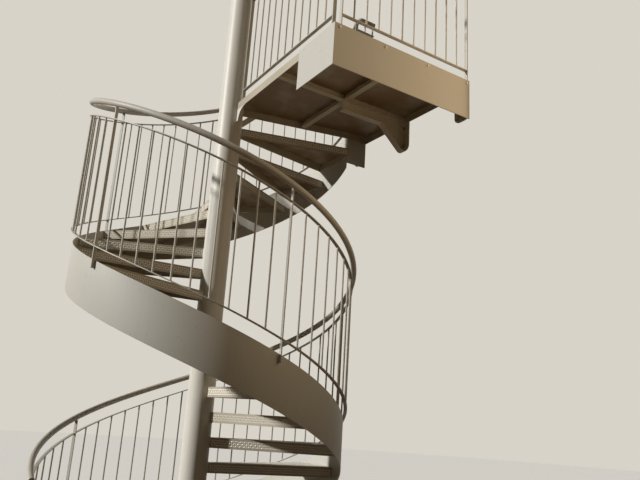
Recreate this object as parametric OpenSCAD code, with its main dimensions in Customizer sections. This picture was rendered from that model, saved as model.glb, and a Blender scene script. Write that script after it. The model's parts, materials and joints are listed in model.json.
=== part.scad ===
// Spiral fire escape stair of painted steel, fixed to a wall at its upper landing.
// X runs along the wall, Y points into the wall and Z is up. The origin is on the
// axis of the column, on the underside of its base plate. Lengths are millimetres.
// The stair climbs clockwise as seen from above, so angles fall as the stair rises.

/* [Stair] */
// Height from one tread to the next
riser = 192.5; // [170:0.5:205]
// Angle that each tread turns round the column
tread_angle = 24; // [22:0.25:25]
// Angle by which a tread reaches under the next one
overlap_angle = 2.6; // [1:0.1:4]
// Direction of the stair edge of the landing
edge_angle = 77; // [70:0.5:82]
// Thickness of the tear plate of a tread
tread_t = 5; // [4:0.5:8]
// Depth of the folded lips at the front and rear of a tread
tread_lip = 79; // [50:1:100]
// Depth of the folded end by which a tread is bolted to the stringer
tread_end_lip = 60; // [30:1:90]

/* [Column] */
// Outside diameter of the column
column_d = 219; // [180:1:240]
// Wall thickness of the column
column_wall = 8; // [5:0.5:12]
// Height of the column above the landing
column_above = 1300; // [1210:10:1500]
// Side of the square base plate
base_w = 420; // [360:5:500]
// Thickness of the base plate
base_t = 20; // [12:1:30]
// Spacing of the anchor holes in the base plate
base_hole_pitch = 330; // [300:5:350]
// Diameter of the anchor holes in the base plate
base_hole_d = 22; // [14:1:26]
// Thickness of the rim of the column cap
cap_t = 6; // [4:1:12]
// Height of the bevelled top of the column cap
cap_bevel = 8; // [4:1:20]

/* [Stringer] */
// Radius of the outer face of the stringer band
stringer_r = 1154; // [1050:1:1200]
// Thickness of the stringer band
stringer_t = 6; // [5:0.5:10]
// Upright height of the stringer band
stringer_h = 369; // [320:1:380]
// Height at which the stringer band is cut off at its foot
stringer_toe = 40; // [20:5:80]

/* [Guard] */
// Height of the handrail centre above the line of the tread fronts
handrail_h = 1212; // [1000:1:1250]
// Diameter of the handrail
handrail_d = 48; // [38:1:60]
// Distance of the handrail centre from the face of the stringer
handrail_out = 28; // [24:1:32]
// Distance of the top rail below the handrail
top_rail_drop = 124; // [90:1:160]
// Height of the bottom rail above the line of the tread fronts
bottom_rail_h = 100; // [60:1:140]
// Width of the flat top and bottom rails
rail_w = 28; // [20:1:32]
// Thickness of the flat top and bottom rails
rail_t = 8; // [5:1:12]
// Diameter of a baluster
baluster_d = 14; // [10:1:18]
// Width of a guard post, measured away from the stair
post_w = 40; // [34:1:60]
// Thickness of a guard post
post_t = 8; // [6:1:14]
// Length by which a post laps the plate that it is fixed to
post_lap = 60; // [45:1:65]
// Treads between one post and the next
treads_per_bay = 3; // [2:1:3]
// Spaces between balusters in one bay
bay_spaces = 11; // [8:1:13]
// Side of the foot plate under the lowest post
foot_w = 80; // [60:5:120]
// Thickness of the foot plate under a post
foot_t = 8; // [6:1:12]

/* [Landing] */
// Distance from the column axis to the outer side of the landing
landing_x = 1656; // [1400:1:1800]
// Distance from the column axis to the front face of the landing
landing_front = 8; // [0:1:30]
// Distance from the column axis to the wall
wall_y = 1333; // [1300:1:1420]
// Thickness of the landing deck
deck_t = 5; // [4:0.5:8]
// Depth of the folded lips of the landing deck
deck_lip = 70; // [50:1:90]
// Thickness of the deep side plates of the landing
fascia_t = 8; // [6:1:12]
// Height of the deep side plates of the landing
fascia_h = 336; // [280:1:360]
// Height by which the deep side plates stand above the deck
fascia_up = 18; // [10:1:40]
// Length of the short return of the side plate along the front
return_len = 486; // [300:1:600]
// Depth of the crossed stiffeners under the deck
stiffener_h = 60; // [40:1:69]
// Thickness of the stiffeners and of the knee web
stiffener_t = 8; // [6:1:12]
// Width of the bottom flange of the stiffeners
stiffener_w = 50; // [30:1:70]
// Distance from the column axis to the stiffener that carries the knee
cross_x = 845; // [600:1:1000]
// Width of the wall plates
wall_plate_w = 156; // [130:1:180]
// Thickness of the wall plates
wall_plate_t = 12; // [8:1:16]
// Depth below the deck of the foot of the wall plate at the knee
wall_plate_low = 340; // [320:1:380]
// Depth below the deck of the foot of the wall plate at the outer side
side_plate_low = 314; // [250:1:380]
// Depth below the deck of the foot of the wall plate behind the corner plate
corner_plate_low = 270; // [250:1:380]
// Diameter of the anchor holes in the wall plates
wall_hole_d = 18; // [12:1:22]
// Radius of the lower corners of a wall plate and inset of its anchor holes
wall_hole_inset = 48; // [36:1:56]

/* [Knee bracket] */
// Depth of the knee where it leaves the cross of the stiffeners
knee_depth = 150; // [100:1:200]
// Distance from the wall at which the knee starts to deepen
knee_kink = 270; // [200:5:350]
// Distance from the wall at which the knee reaches its full depth
knee_foot = 50; // [30:5:80]
// Width of the bottom flange of the knee
knee_flange_w = 60; // [40:1:90]
// Thickness of the bottom flange of the knee
knee_flange_t = 8; // [6:1:12]

/* [Column brackets] */
// Length of the curved gusset along the front of the landing
gusset_len = 148; // [120:1:180]
// Depth of the curved gusset on the column
gusset_depth = 185; // [150:1:220]
// Radius of the hollow edge of the gusset
gusset_r = 112; // [80:1:113]
// Thickness of the gusset
gusset_t = 8; // [6:1:8]
// Reach of the slanted strut from the face of the column
strut_reach = 122; // [90:1:150]
// Height of the foot of the strut above the tread below it
strut_gap = 8; // [4:1:30]
// Width of the slanted strut
strut_w = 50; // [30:1:60]

/* [Landing guard] */
// Height of the handrail centre above the landing
landing_rail_h = 1176; // [1000:1:1200]
// Height of the bottom rail above the landing
landing_bottom_h = 113; // [60:1:130]
// Width of the posts of the landing guard
landing_post_w = 30; // [28:1:36]
// Distance of the front guard behind the front face of the landing
front_guard_in = 14; // [12:1:40]
// Distance from the column axis to the post beside the column
first_post_x = 157; // [130:1:200]
// Distance of the posts beside the outer corner from the outer faces of the landing
corner_post_in = 63; // [56:1:100]
// Distance from the wall to the last post on the outer side
side_post_wall = 14; // [12:1:60]
// Spaces between balusters along the front of the landing
front_spaces = 12; // [9:1:13]
// Spaces between balusters along the outer side of the landing
side_spaces = 11; // [8:1:12]
// Bend radius of the landing handrail at the corner
handrail_bend = 70; // [50:1:120]
// Diameter of the round plate where a handrail meets the wall
rosette_d = 90; // [70:1:120]
// Thickness of the round plate where a handrail meets the wall
rosette_t = 6; // [4:1:10]

/* [Hidden] */

// The nodes hold this many treads, and the landing is one rise higher
tread_count = 22;
rise_count = tread_count + 1;
landing_level = rise_count * riser;
column_r = column_d / 2;
tread_r = stringer_r - stringer_t;
tread_span = tread_angle + overlap_angle;
// The stringer, rails and handrail have a ring of points at each of these steps
ring_step = tread_angle / 6;
handrail_sides = 12;
paint = [0.72, 0.72, 0.71];
paint_dark = [0.62, 0.62, 0.61];

// Posts stand over the rear lips of the treads
first_post = edge_angle - overlap_angle;
bay_angle = treads_per_bay * tread_angle;
bay_count = 8;
space_angle = bay_angle / bay_spaces;
foot_angle = edge_angle + rise_count * tread_angle;
last_bay_angle = first_post + (bay_count - 1) * bay_angle;
last_spaces = ceil((foot_angle - last_bay_angle) / space_angle);
start_angle = last_bay_angle + last_spaces * space_angle;
toe_angle = edge_angle + (landing_level - stringer_toe) / riser * tread_angle;

rail_r = stringer_r + rail_w / 2;
handrail_r = stringer_r + handrail_out;
top_rail_h = handrail_h - top_rail_drop;
landing_top_h = landing_rail_h - top_rail_drop;
post_half_angle = post_t / 2 / rail_r * 180 / PI;

deck_side = landing_x - fascia_t;
return_x = landing_x - return_len;
fascia_low = fascia_up - fascia_h;
cross_y = (landing_front + wall_y) / 2;
corner_x = tread_r * cos(edge_angle);
corner_y = tread_r * sin(edge_angle);
front_guard_y = landing_front + front_guard_in;
corner_post_x = landing_x - corner_post_in;
side_post_y = landing_front + corner_post_in;
last_post_y = wall_y - side_post_wall;

// Height of the line through the tread fronts at an angle round the column
function nose_z(a) = landing_level - riser * (a - edge_angle) / tread_angle;
function tread_front(k) = edge_angle + (rise_count - k) * tread_angle;
function post_angle(n) = n > bay_count ? start_angle : first_post + (n - 1) * bay_angle;
// Slope of a rail that follows the stair at radius r
function slope(r) = atan(riser / (r * tread_angle * PI / 180));

// Angles of the rings of points between two ends
function rings(a0, a1) = concat(
    [a0],
    [for (i = [floor((a0 - first_post) / ring_step + 0.01) + 1 :
               ceil((a1 - first_post) / ring_step - 0.01) - 1])
        first_post + i * ring_step],
    [a1]
);

// Outline of an upright cut through a flat rail, centred on radius r and height z
function flat_outline(r, z, w, h) = [
    [r - w / 2, z - h / 2], [r + w / 2, z - h / 2],
    [r + w / 2, z + h / 2], [r - w / 2, z + h / 2]
];

// Outline of an upright cut through a sloping round rail
function round_outline(r, z, d) = [
    for (i = [0 : handrail_sides - 1])
        let (t = 360 * i / handrail_sides)
            [r + d / 2 * cos(t), z + d / 2 * sin(t) / cos(slope(r))]
];

// Carries an outline of radius and height along the stair, no lower than the ground
module helix_sweep(a0, a1, outline) {
    angles = rings(a0, a1);
    m = len(outline);
    n = len(angles);
    points = [
        for (a = angles) for (p = outline)
            [p[0] * cos(a), p[0] * sin(a), max(0, nose_z(a) + p[1])]
    ];
    sides = [
        for (i = [0 : n - 2]) for (j = [0 : m - 1])
            let (k = (j + 1) % m, low = i * m, high = (i + 1) * m)
                each [[low + j, low + k, high + k], [low + j, high + k, high + j]]
    ];
    first_end = [[for (j = [m - 1 : -1 : 0]) j]];
    last_end = [[for (j = [0 : m - 1]) (n - 1) * m + j]];
    polyhedron(points, concat(sides, first_end, last_end));
}

// Wedge of a tread seen from above, its front edge along X
module wedge(span) {
    reach = 1.2 * tread_r;
    polygon([[0, 0], [reach * cos(span), -reach * sin(span)], [reach, 0]]);
}

// Wall plate from the deck lip down, its lower corners rounded round two anchor holes
module wall_plate(x, w, low) {
    inset = wall_hole_inset;
    h = low - deck_lip;
    translate([x, wall_y, -low]) rotate([90, 0, 0]) difference() {
        linear_extrude(wall_plate_t) union() {
            translate([0, inset]) square([w, h - inset]);
            translate([inset, 0]) square([w - 2 * inset, h]);
            for (hole_x = [inset, w - inset]) translate([hole_x, inset]) circle(r = inset, $fn = 48);
        }
        for (hole_x = [inset, w - inset]) for (hole_z = [inset, h - inset])
            translate([hole_x, hole_z, -1])
                cylinder(d = wall_hole_d, h = wall_plate_t + 2, $fn = 32);
    }
}

module base_plate() {
    color(paint_dark) difference() {
        translate([-base_w / 2, -base_w / 2, 0]) cube([base_w, base_w, base_t]);
        for (x = [-1, 1]) for (y = [-1, 1])
            translate([x * base_hole_pitch / 2, y * base_hole_pitch / 2, -1])
                cylinder(d = base_hole_d, h = base_t + 2, $fn = 32);
    }
}

module column() {
    height = landing_level + column_above - base_t;
    color(paint) translate([0, 0, base_t]) difference() {
        cylinder(d = column_d, h = height, $fn = 64);
        translate([0, 0, -1])
            cylinder(d = column_d - 2 * column_wall, h = height + 2, $fn = 64);
    }
}

module column_cap() {
    color(paint) translate([0, 0, landing_level + column_above]) {
        cylinder(d = column_d, h = cap_t, $fn = 64);
        translate([0, 0, cap_t])
            cylinder(d1 = column_d, d2 = column_d - 3 * cap_bevel, h = cap_bevel, $fn = 64);
    }
}

// A tread is one folded plate: a wedge with lips at the front, the rear and the end
module tread(k) {
    color(paint_dark) translate([0, 0, k * riser]) rotate(tread_front(k))
        intersection() {
            difference() {
                translate([0, 0, -tread_lip]) cylinder(r = tread_r, h = tread_lip, $fn = 180);
                translate([0, 0, -tread_lip - 1])
                    cylinder(r = column_r, h = tread_lip + 2, $fn = 64);
            }
            union() {
                translate([0, 0, -tread_t]) linear_extrude(tread_t) wedge(tread_span);
                translate([0, -tread_t, -tread_lip]) cube([1.1 * tread_r, tread_t, tread_lip]);
                rotate(-tread_span) translate([0, 0, -tread_lip])
                    cube([1.1 * tread_r, tread_t, tread_lip]);
                translate([0, 0, -tread_end_lip]) linear_extrude(tread_end_lip)
                    difference() {
                        wedge(tread_span);
                        circle(r = tread_r - tread_t, $fn = 180);
                    }
            }
        }
}

// The stringer is made in lengths that meet under the guard posts
module stringer(a0, a1) {
    color(paint)
        helix_sweep(a0, a1, flat_outline(
            stringer_r - stringer_t / 2, -stringer_h / 2, stringer_t, stringer_h));
}

module handrail(a0, a1) {
    color(paint) helix_sweep(a0, a1, round_outline(handrail_r, handrail_h, handrail_d));
}

// Flat post in its own plane: X away from the stair, Y up, with a round lower end
module post_outline(low, high, round_end) {
    if (round_end) {
        translate([0, low + post_w / 2]) square([post_w, high - low - post_w / 2]);
        translate([post_w / 2, low + post_w / 2]) circle(d = post_w, $fn = 32);
    } else {
        translate([0, low]) square([post_w, high - low]);
    }
}

// Post that stands on edge against the stringer and is coped to the handrail
module stair_post(a, low, round_end) {
    rail_z = nose_z(a) + handrail_h;
    rotate(a) translate([stringer_r, 0, 0]) difference() {
        rotate([90, 0, 0]) translate([0, 0, -post_t / 2]) linear_extrude(post_t)
            post_outline(low, rail_z - 0.4 * handrail_d, round_end);
        translate([handrail_out, 0, rail_z]) rotate([90 - slope(handrail_r), 0, 0])
            cylinder(d = handrail_d, h = 4 * post_t, center = true, $fn = 48);
    }
}

module stair_baluster(a) {
    translate([rail_r * cos(a), rail_r * sin(a), nose_z(a) + bottom_rail_h])
        cylinder(d = baluster_d, h = top_rail_h - bottom_rail_h, $fn = 24);
}

// A bay reaches from the face of one post to the next post below it
module guard(n) {
    upper = post_angle(n);
    lower = post_angle(n + 1);
    spaces = n == bay_count ? last_spaces : bay_spaces;
    thick = rail_t / cos(slope(rail_r));
    color(paint) union() {
        for (z = [bottom_rail_h, top_rail_h])
            helix_sweep(upper + post_half_angle, lower,
                flat_outline(rail_r, z, rail_w, thick));
        for (i = [1 : spaces - 1]) stair_baluster(upper + i * space_angle);
        if (n == 1) stair_post(upper, landing_level, false);
        if (n < bay_count) {
            stair_post(lower, nose_z(lower) - post_lap, true);
        } else {
            stair_post(lower, 0, false);
            rotate(lower) translate([stringer_r + post_w / 2 - foot_w / 2, -foot_w / 2, 0])
                cube([foot_w, foot_w, foot_t]);
        }
    }
}

// Half of the floor on the landing side of the deck lip at the stair edge
module landing_side(height) {
    reach = 2 * landing_x;
    rotate(edge_angle) translate([-reach, -2 * reach - deck_t, -height])
        cube([2 * reach, 2 * reach, height]);
}

// Outline of the deck from above: it steps back behind the return of the side plate
module landing_outline() {
    step_y = landing_front + fascia_t;
    polygon([
        [0, 0], [0, landing_front], [return_x, landing_front], [return_x, step_y],
        [deck_side, step_y], [deck_side, wall_y], [corner_x, wall_y], [corner_x, corner_y]
    ]);
}

// The same outline inside the lips, run on past the outer side where there is no lip
module inside_lips() {
    low = landing_front + deck_t;
    step_x = return_x - deck_t;
    high = wall_y - deck_t;
    left = corner_x + deck_t;
    polygon([
        [(deck_t + low * cos(edge_angle)) / sin(edge_angle), low], [step_x, low],
        [step_x, low + fascia_t], [landing_x, low + fascia_t], [landing_x, high],
        [left, high], [left, (left * sin(edge_angle) - deck_t) / cos(edge_angle)]
    ]);
}

// The deck is one folded plate with lips at the front, at the stair and at the wall
module landing_deck() {
    color(paint_dark) translate([0, 0, landing_level - deck_lip]) difference() {
        linear_extrude(deck_lip) landing_outline();
        translate([0, 0, -deck_t]) linear_extrude(deck_lip) inside_lips();
        translate([0, 0, -deck_lip]) cylinder(d = column_d, h = 3 * deck_lip, $fn = 64);
    }
}

module landing_fascia() {
    color(paint) translate([0, 0, landing_level]) union() {
        translate([deck_side, landing_front, fascia_low])
            cube([fascia_t, wall_y - landing_front, fascia_h]);
        translate([return_x, landing_front, fascia_low])
            cube([return_len, fascia_t, fascia_h]);
        wall_plate(landing_x - wall_plate_w, wall_plate_w - fascia_t / 2, side_plate_low);
    }
}

// Side view of the knee: X towards the wall and Y up, from the cross to the wall plate
module knee_outline(shrink) {
    knee_start = cross_y - stiffener_w / 2;
    wall_face = wall_y - wall_plate_t;
    polygon([
        [knee_start, -stiffener_t], [wall_y - deck_t, -stiffener_t],
        [wall_y - deck_t, -deck_lip], [wall_face, -deck_lip],
        [wall_face, shrink - wall_plate_low], [wall_y - knee_foot, shrink - wall_plate_low],
        [wall_y - knee_kink, shrink - knee_depth], [knee_start, shrink - knee_depth]
    ]);
}

// Stands a side view up across the landing, centred on X
module across(x, width) {
    translate([x - width / 2, 0, 0]) rotate([90, 0, 90]) linear_extrude(width) children();
}

// Upright web with a flat bottom flange, along X from the origin
module stiffener(length) {
    translate([0, -stiffener_t / 2, -stiffener_h])
        cube([length, stiffener_t, stiffener_h - deck_t]);
    translate([0, -stiffener_w / 2, -stiffener_h]) cube([length, stiffener_w, stiffener_t]);
}

module landing_beams() {
    front = landing_front + deck_t;
    color(paint_dark) translate([0, 0, landing_level]) union() {
        intersection() {
            translate([0, cross_y, 0]) stiffener(deck_side);
            landing_side(stiffener_h);
        }
        translate([cross_x, front, 0]) rotate(90) stiffener(wall_y - deck_t - front);
        across(cross_x, stiffener_t) knee_outline(0);
        across(cross_x, knee_flange_w) difference() {
            knee_outline(0);
            knee_outline(knee_flange_t);
        }
        wall_plate(cross_x - wall_plate_w / 2, wall_plate_w, wall_plate_low);
    }
}

// Deep plate from the upper end of the stringer to the wall
module corner_plate() {
    color(paint) translate([0, 0, landing_level]) union() {
        translate([corner_x, corner_y, fascia_low])
            cube([fascia_t, wall_y - corner_y, -deck_lip - fascia_low]);
        wall_plate(corner_x + fascia_t / 2 - wall_plate_w, wall_plate_w, corner_plate_low);
    }
}

module column_brackets() {
    gusset_h = gusset_depth - deck_lip;
    strut_depth = riser - deck_lip - strut_gap;
    strut_l = sqrt(strut_reach * strut_reach + strut_depth * strut_depth);
    strut_tilt = atan(strut_depth / strut_reach);
    color(paint) translate([0, 0, landing_level]) {
        difference() {
            translate([0, landing_front + gusset_t, -gusset_depth]) rotate([90, 0, 0])
                linear_extrude(gusset_t) difference() {
                    square([column_r + gusset_len, gusset_h]);
                    translate([column_r + gusset_len, 0]) circle(r = gusset_r, $fn = 64);
                }
            translate([0, 0, -gusset_depth - 1])
                cylinder(d = column_d, h = gusset_depth + 2, $fn = 64);
        }
        rotate(edge_angle) difference() {
            translate([column_r + strut_reach, 0, -deck_lip]) rotate([90, 0, 0])
                rotate(180 + strut_tilt) translate([-strut_w, -strut_w, 0])
                    linear_extrude(deck_t) square([strut_l + 3 * strut_w, strut_w]);
            translate([0, 0, -2 * gusset_depth])
                cylinder(d = column_d, h = 2 * gusset_depth, $fn = 64);
            translate([0, -strut_w, -deck_lip]) cube([tread_r, 2 * strut_w, gusset_depth]);
        }
    }
}

// Level handrail from the column, round the outer corner and on to the wall
module level_rail() {
    x = deck_side - landing_post_w / 2;
    y = front_guard_y + landing_post_w / 2;
    translate([0, 0, landing_rail_h]) {
        translate([0, y, 0]) rotate([0, 90, 0])
            cylinder(d = handrail_d, h = x - handrail_bend, $fn = 32);
        translate([x - handrail_bend, y + handrail_bend, 0]) rotate(-90)
            rotate_extrude(angle = 90, $fn = 64)
                translate([handrail_bend, 0]) circle(d = handrail_d, $fn = 32);
        translate([x, y + handrail_bend, 0]) rotate([-90, 0, 0])
            cylinder(d = handrail_d, h = wall_y - y - handrail_bend, $fn = 32);
    }
}

// Panel of the landing guard along X, its outer face at Y = 0 and the deck at Z = 0
module level_panel(length, spaces) {
    post_h = landing_rail_h - 0.4 * handrail_d;
    for (z = [landing_bottom_h, landing_top_h])
        translate([0, 0, z - rail_t / 2]) cube([length, rail_w, rail_t]);
    for (i = [1 : spaces - 1]) translate([i * length / spaces, rail_w / 2, landing_bottom_h])
        cylinder(d = baluster_d, h = landing_top_h - landing_bottom_h, $fn = 24);
    for (x = [0, length]) translate([x - post_t / 2, 0, 0])
        cube([post_t, landing_post_w, post_h]);
}

module landing_guard_front() {
    color(paint) translate([0, 0, landing_level]) difference() {
        translate([first_post_x, front_guard_y, 0])
            level_panel(corner_post_x - first_post_x, front_spaces);
        level_rail();
    }
}

module landing_guard_side() {
    color(paint) translate([0, 0, landing_level]) difference() {
        translate([deck_side, side_post_y, 0]) rotate(90)
            level_panel(last_post_y - side_post_y, side_spaces);
        level_rail();
    }
}

module landing_handrail() {
    color(paint) translate([0, 0, landing_level]) difference() {
        union() {
            level_rail();
            translate([deck_side - landing_post_w / 2, wall_y - rosette_t, landing_rail_h])
                rotate([-90, 0, 0]) cylinder(d = rosette_d, h = rosette_t, $fn = 48);
        }
        translate([0, 0, landing_rail_h - handrail_d])
            cylinder(d = column_d, h = 2 * handrail_d, $fn = 64);
    }
}

// Short guard from the uppermost stair post to the wall
module end_guard() {
    x = handrail_r * cos(first_post);
    y = handrail_r * sin(first_post);
    rail_x = rail_r * cos(first_post);
    rail_y = rail_r * sin(first_post) + post_t / 2;
    top = nose_z(first_post);
    last_y = wall_y - baluster_d;
    color(paint) union() {
        translate([x, y, top + handrail_h]) {
            sphere(d = handrail_d, $fn = 32);
            rotate([-90, 0, 0]) cylinder(d = handrail_d, h = wall_y - y, $fn = 32);
        }
        for (z = [bottom_rail_h, top_rail_h])
            translate([rail_x - rail_w / 2, rail_y, top + z - rail_t / 2])
                cube([rail_w, wall_y - rail_y, rail_t]);
        for (upright_y = [(rail_y + last_y) / 2, last_y])
            translate([rail_x, upright_y, top + bottom_rail_h])
                cylinder(d = baluster_d, h = handrail_h - bottom_rail_h, $fn = 24);
    }
}

base_plate();
column();
column_cap();
tread(1);  // tread_01
tread(2);  // tread_02
tread(3);  // tread_03
tread(4);  // tread_04
tread(5);  // tread_05
tread(6);  // tread_06
tread(7);  // tread_07
tread(8);  // tread_08
tread(9);  // tread_09
tread(10);  // tread_10
tread(11);  // tread_11
tread(12);  // tread_12
tread(13);  // tread_13
tread(14);  // tread_14
tread(15);  // tread_15
tread(16);  // tread_16
tread(17);  // tread_17
tread(18);  // tread_18
tread(19);  // tread_19
tread(20);  // tread_20
tread(21);  // tread_21
tread(22);  // tread_22
stringer(edge_angle, post_angle(4));  // stringer_1
stringer(post_angle(4), post_angle(7));  // stringer_2
stringer(post_angle(7), toe_angle);  // stringer_3
guard(1);  // guard_1
guard(2);  // guard_2
guard(3);  // guard_3
guard(4);  // guard_4
guard(5);  // guard_5
guard(6);  // guard_6
guard(7);  // guard_7
guard(8);  // guard_8
handrail(first_post, post_angle(4));  // handrail_1
handrail(post_angle(4), post_angle(7));  // handrail_2
handrail(post_angle(7), start_angle);  // handrail_3
landing_deck();
landing_fascia();
landing_beams();
corner_plate();
column_brackets();
landing_guard_front();
landing_guard_side();
landing_handrail();
end_guard();
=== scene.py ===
# %% [markdown]
# # A spiral fire escape stair in painted steel
#
# The stair arrives from CAD as 48 solids that are already the right size and in the right
# place. This lesson dresses them: round and twisted bars are made again as smooth surfaces,
# the folded treads get their raised tears, the joints get welds and bolts, and every piece
# gets the finish of weathered painted steel. X runs along the upright plane that the landing
# is bolted to, Y into it and Z is up. All lengths here are metres.

# %% Load the frame
import json
import bpy
import numpy as np
from mathutils import Matrix


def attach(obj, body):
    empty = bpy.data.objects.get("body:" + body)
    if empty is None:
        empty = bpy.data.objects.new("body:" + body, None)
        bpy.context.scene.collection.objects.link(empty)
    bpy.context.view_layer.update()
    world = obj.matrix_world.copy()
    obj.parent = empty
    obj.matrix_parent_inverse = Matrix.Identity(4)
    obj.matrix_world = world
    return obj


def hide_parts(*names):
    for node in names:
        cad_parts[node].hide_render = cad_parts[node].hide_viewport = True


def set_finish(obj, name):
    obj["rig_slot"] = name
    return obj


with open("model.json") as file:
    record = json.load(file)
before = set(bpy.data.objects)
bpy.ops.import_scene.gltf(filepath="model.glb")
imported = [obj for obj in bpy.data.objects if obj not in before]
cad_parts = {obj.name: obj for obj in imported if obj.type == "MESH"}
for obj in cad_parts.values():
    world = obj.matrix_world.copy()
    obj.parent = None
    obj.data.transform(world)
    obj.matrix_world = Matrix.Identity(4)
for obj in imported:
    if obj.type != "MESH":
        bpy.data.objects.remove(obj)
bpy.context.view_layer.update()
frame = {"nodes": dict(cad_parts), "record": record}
nodes = frame["nodes"]

# %% [markdown]
# The helix that everything follows is a single rule: each tread turns 24 degrees round the
# column and rises 192.5 mm. The stair climbs clockwise, so the angle falls as it rises. One
# function gives the height of the line through the tread fronts at any angle, and every
# twisted piece below is that line with something added to it.

# %% Sizes of the stair and the landing
# Rise and turn of a tread, overlap of two treads, and the angle of the landing's edge
RISER, TURN, OVERLAP, EDGE = 0.1925, 24.0, 2.6, 77.0
TREADS = 22
LEVEL = (TREADS + 1) * RISER
# Column, outer edge of the treads and their folded lips, and the stringer band
COLUMN_R, TREAD_R, TREAD_LIP, END_LIP = 0.1095, 1.148, 0.079, 0.060
STRINGER_R, STRINGER_T, STRINGER_H = 1.154, 0.006, 0.369
# Thin rails and handrail of the stair guard, heights above the line of the tread fronts
RAIL_R, RAIL_W, RAIL_T = 1.168, 0.028, 0.008
HANDRAIL_R, HANDRAIL_D, HANDRAIL_H = 1.182, 0.048, 1.212
TOP_RAIL_H, BOTTOM_RAIL_H = 1.088, 0.100
# Balusters and posts, and how far a post laps down over the band
BALUSTER_D, POST_W, POST_T, POST_LAP = 0.014, 0.025, 0.008, 0.060
# Angle of the uppermost post, of one bay, and the spaces between balusters in a bay
FIRST_POST, BAY, SPACES = EDGE - OVERLAP, 72.0, 11
# The lowest bay has eight of its spaces. The band ends where its upper edge is 40 mm high
LAST_SPACES = 8
START = FIRST_POST + 7 * BAY + LAST_SPACES * BAY / SPACES
TOE = EDGE + (LEVEL - 0.040) / RISER * TURN
# Outer faces of the landing, side rim and thickness of its deck, then the end of its return
# plate and the middles of its crossed beams
LANDING_X, LANDING_Y, DECK_SIDE, DECK_T = 1.656, 1.333, 1.648, 0.005
RETURN_X, CROSS_X, CROSS_Y = 1.170, 0.845, 0.6705
# Guard of the landing: post, handrail and rails, then where its two panels begin and end, and
# the radius of the handrail's bend
LEVEL_POST_W, LEVEL_RAIL_H, LEVEL_TOP, LEVEL_BOTTOM = 0.030, 1.176, 1.052, 0.113
FRONT_GUARD_Y, FIRST_X, CORNER_X = 0.022, 0.157, 1.593
SIDE_START, SIDE_END, BEND = 0.071, 1.319, 0.070
X_AXIS, Y_AXIS, UP = np.eye(3)


def nose_z(angle):
    """Height of the line through the tread fronts: it falls one riser for each 24 degrees."""
    return LEVEL - RISER * (np.asarray(angle) - EDGE) / TURN


def slope(radius):
    """Angle of that line against the level at a radius: rise over the length of the arc."""
    return np.arctan(RISER / (radius * np.radians(TURN)))


def tread_front(k):
    """Angle of the front of tread k, counted from the lowest: one turn for each tread."""
    return EDGE + (TREADS + 1 - k) * TURN


def spokes(angle):
    """Directions away from the column and round it, at one angle in degrees or at several."""
    t = np.radians(angle)
    away = np.stack([np.cos(t), np.sin(t), 0 * t], -1)
    return away, np.stack([-np.sin(t), np.cos(t), 0 * t], -1)


print("level of the landing", LEVEL, "lowest post at", round(START, 2), "degrees")

# %% [markdown]
# Surfaces are arrays of points. A helper turns them into one mesh object at the origin. It
# works out each solid's signed volume, the sum over its faces of the volume of the pyramid
# from the origin, and turns the faces round where the sum is negative, so that every face
# points outwards. Sharp edges stay sharp and gentle ones are shaded smooth.


# %% From arrays to a mesh
def solid(rings):
    """A closed tube: rings[i, j] is point j of the profile at step i. Neighbouring rings are
    joined by quads, and a fan of triangles round the mean point closes each end."""
    n, m = rings.shape[:2]
    i, j = np.meshgrid(np.arange(n - 1), np.arange(m), indexing="ij")
    k = (j + 1) % m
    quads = np.stack([i * m + j, i * m + k, (i + 1) * m + k, (i + 1) * m + j], -1).reshape(-1, 4)
    points = np.concatenate([rings.reshape(-1, 3), rings[:1].mean(1), rings[-1:].mean(1)])
    j = np.arange(m)
    k = (j + 1) % m
    start = np.stack([k, j, np.full(m, n * m)], -1)
    end = np.stack([(n - 1) * m + j, (n - 1) * m + k, np.full(m, n * m + 1)], -1)
    return points, quads, np.concatenate([start, end])


def outward(part):
    """Turns the faces of a closed solid round if its signed volume is negative."""
    points, quads, tris = part
    every = np.concatenate([quads[:, [0, 1, 2]], quads[:, [0, 2, 3]], tris])
    a, b, c = (points[every[:, q]] - points.mean(0) for q in range(3))
    volume = np.einsum("ij,ij->i", a, np.cross(b, c)).sum()
    return part if volume > 0 else (points, quads[:, ::-1], tris[:, ::-1])


def repeated(part, places):
    """Copies of a small solid. places[i] is a 4 by 3 array: its X, Y and Z directions and
    its origin, so a copied point is x times the first, y times the second and so on."""
    points, quads, tris = outward(part)
    flat = np.concatenate([points, np.ones((len(points), 1))], 1)
    copies = np.einsum("pk,ikc->ipc", flat, places).reshape(-1, 3)
    shift = (np.arange(len(places)) * len(points))[:, None, None]
    return (copies, (quads[None] + shift).reshape(-1, 4), (tris[None] + shift).reshape(-1, 3))


pieces = {}


def piece(name, parts, slot, replaces=(), angle=35):
    """One object from several solids, at the origin, riding on the frame's only body. Edges
    sharper than the angle in degrees stay sharp."""
    parts = [outward(p) for p in parts]
    base = np.cumsum([0] + [len(p[0]) for p in parts])
    faces = []
    for part, shift in zip(parts, base):
        faces += (part[1] + shift).tolist() + (part[2] + shift).tolist()
    mesh = bpy.data.meshes.new(name)
    mesh.from_pydata(np.concatenate([p[0] for p in parts]).tolist(), [], faces)
    mesh.polygons.foreach_set("use_smooth", np.ones(len(mesh.polygons), bool))
    mesh.set_sharp_from_angle(angle=np.radians(angle))
    made = bpy.data.objects.new(name, mesh)
    bpy.context.scene.collection.objects.link(made)
    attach(made, "root")
    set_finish(made, slot)
    if replaces:
        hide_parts(*replaces)
    pieces[name] = made
    print(name, len(mesh.vertices), "points", len(mesh.polygons), "faces")


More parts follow.
